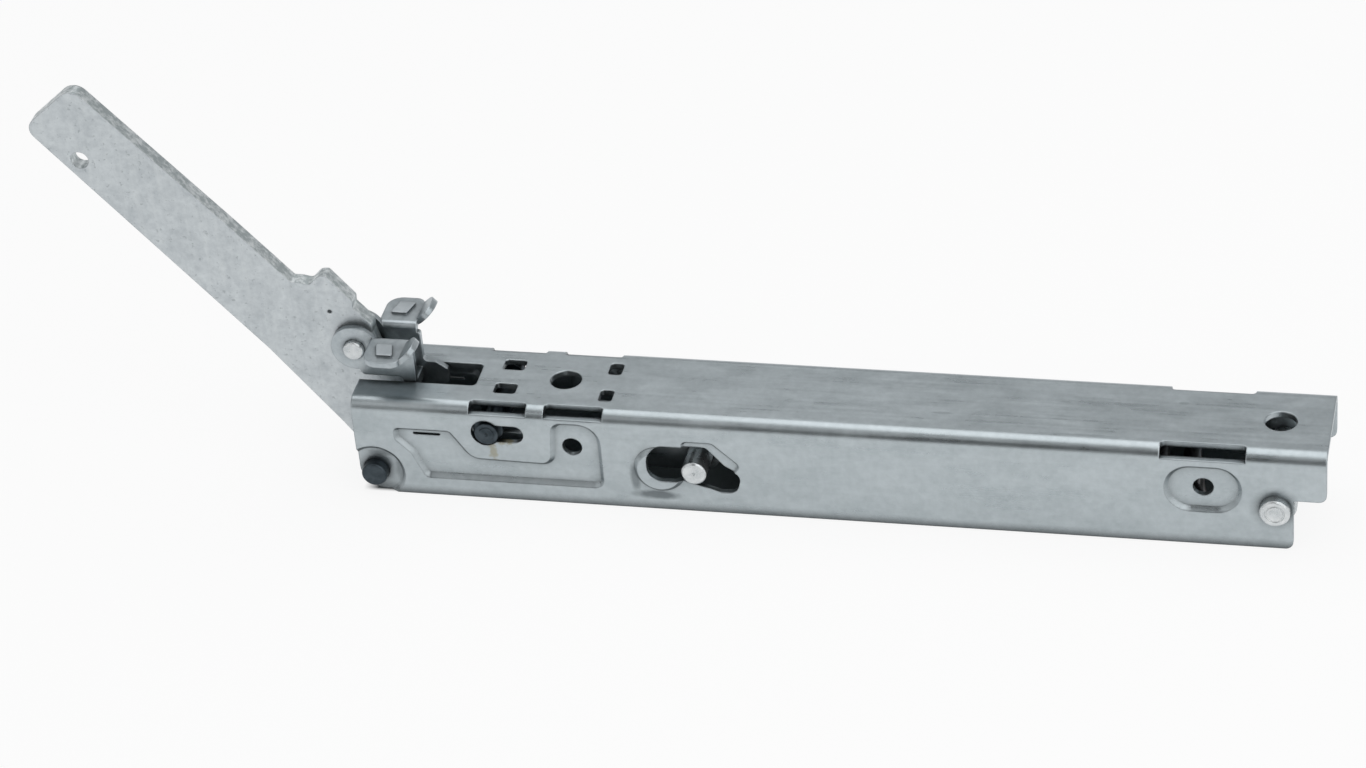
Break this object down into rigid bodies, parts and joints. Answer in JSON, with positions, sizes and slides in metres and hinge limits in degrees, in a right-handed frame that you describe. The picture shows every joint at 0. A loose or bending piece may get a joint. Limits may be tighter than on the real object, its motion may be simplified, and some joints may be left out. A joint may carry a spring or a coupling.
{
  "type": "oven door hinge",
  "caption": "Oven door hinge: a steel channel with a tension spring inside, a flat arm that swings at one end and a folding lock clip.",
  "frame": {"origin": "centre of the front screw hole, on the outer face of the channel's web", "axes": "+X along the channel from the arm's pivot towards the spring's anchor, +Z out of the web's outer face, +Y across the channel, away from the side that the picture shows"},
  "size_m": [0.2455, 0.0256, 0.0816],
  "materials": {
    "zinc_plated_sheet": "satin",
    "arm_plate": "satin",
    "clip_sheet": "satin",
    "bright_pin": "polished",
    "dark_pin": "satin",
    "spring_steel": "satin"
  },
  "bodies": {
    "channel_body": {"channel": "zinc_plated_sheet", "pivot_rivet": "dark_pin", "pivot_spacer_near": "bright_pin", "pivot_spacer_far": "bright_pin", "anchor_rivet": "bright_pin", "anchor_spacer_near": "bright_pin", "anchor_spacer_far": "bright_pin"},
    "arm_body": {"arm": "arm_plate", "clip_rivet": "bright_pin", "clip_washer_near": "bright_pin", "clip_washer_far": "bright_pin", "crank_pin": "dark_pin", "crank_spacer_near": "bright_pin", "crank_spacer_far": "bright_pin"},
    "clip_body": {"lock_clip": "clip_sheet"},
    "link_body": {"link_plate_near": "zinc_plated_sheet", "link_plate_far": "zinc_plated_sheet", "spring_pin": "bright_pin", "spring_spacer_near": "bright_pin", "spring_spacer_far": "bright_pin", "main_spring": "spring_steel"},
    "follower_body": {"follower_pin": "dark_pin", "follower_sleeve": "dark_pin", "follower_collar_near": "bright_pin", "follower_collar_far": "bright_pin"}
  },
  "joints": [
    {"name": "arm_pivot", "type": "hinge", "parent": "channel_body", "child": "arm_body", "pos_m": [-0.03695, 0, -0.01655], "axis": [0, -1, 0], "range_deg": [-30, 48.5]},
    {"name": "clip_pivot", "type": "hinge", "parent": "arm_body", "child": "clip_body", "pos_m": [-0.04047, 0, 0.0069], "axis": [0, -1, 0], "range_deg": [0, 110]},
    {"name": "link_slide", "type": "slide", "parent": "channel_body", "child": "link_body", "axis": [-0.9703, 0, 0.2419], "range_m": [-0.0039, 0.0063], "deforming": ["main_spring"]},
    {"name": "follower_slide", "type": "slide", "parent": "channel_body", "child": "follower_body", "axis": [1, 0, 0], "range_m": [0, 0.0052]}
  ],
  "couplings": [
    {"joint": "link_slide", "follows": "arm_pivot", "m_per_rad": 0.0074}
  ]
}
